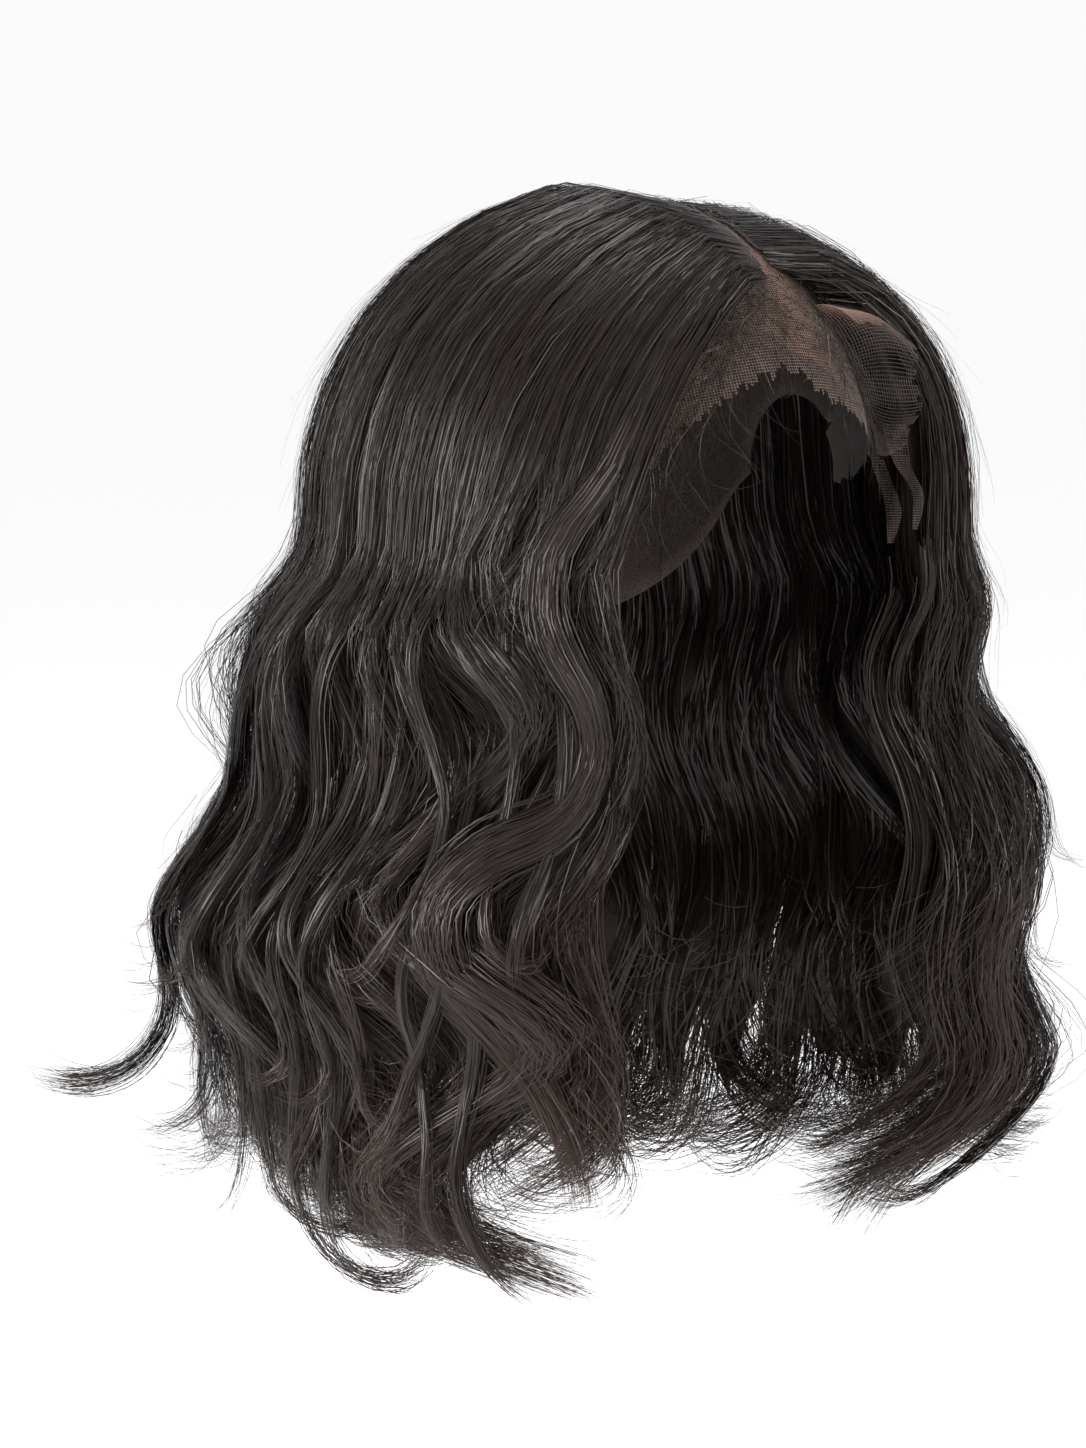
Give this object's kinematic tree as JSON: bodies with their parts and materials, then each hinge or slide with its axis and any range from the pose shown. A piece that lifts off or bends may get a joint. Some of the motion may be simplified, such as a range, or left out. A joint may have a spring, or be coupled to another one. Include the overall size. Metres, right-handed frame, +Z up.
{
  "type": "lace wig",
  "caption": "Shoulder-length lace front wig with a parting, loosely waved dark brown hair and a lifted corner of lace at the left temple, in the form it has when worn.",
  "frame": {"origin": "inside top of the cap, where it rests on the crown of the head", "axes": "+Z up, -Y toward the face, +X toward the wearer's left"},
  "size_m": [0.333, 0.279, 0.4032],
  "materials": {
    "hair": "glossy dark brown hair",
    "lace": "matt mocha brown net",
    "cap_net": "matt dark brown stretch net"
  },
  "bodies": {
    "root": {"lace_front": "lace", "cap_back": "cap_net", "hair_front_right": "hair", "hair_side_right": "hair", "hair_back_right": "hair", "hair_back": "hair", "hair_back_left": "hair", "hair_side_left": "hair", "hair_front_left": "hair"}
  },
  "joints": []
}
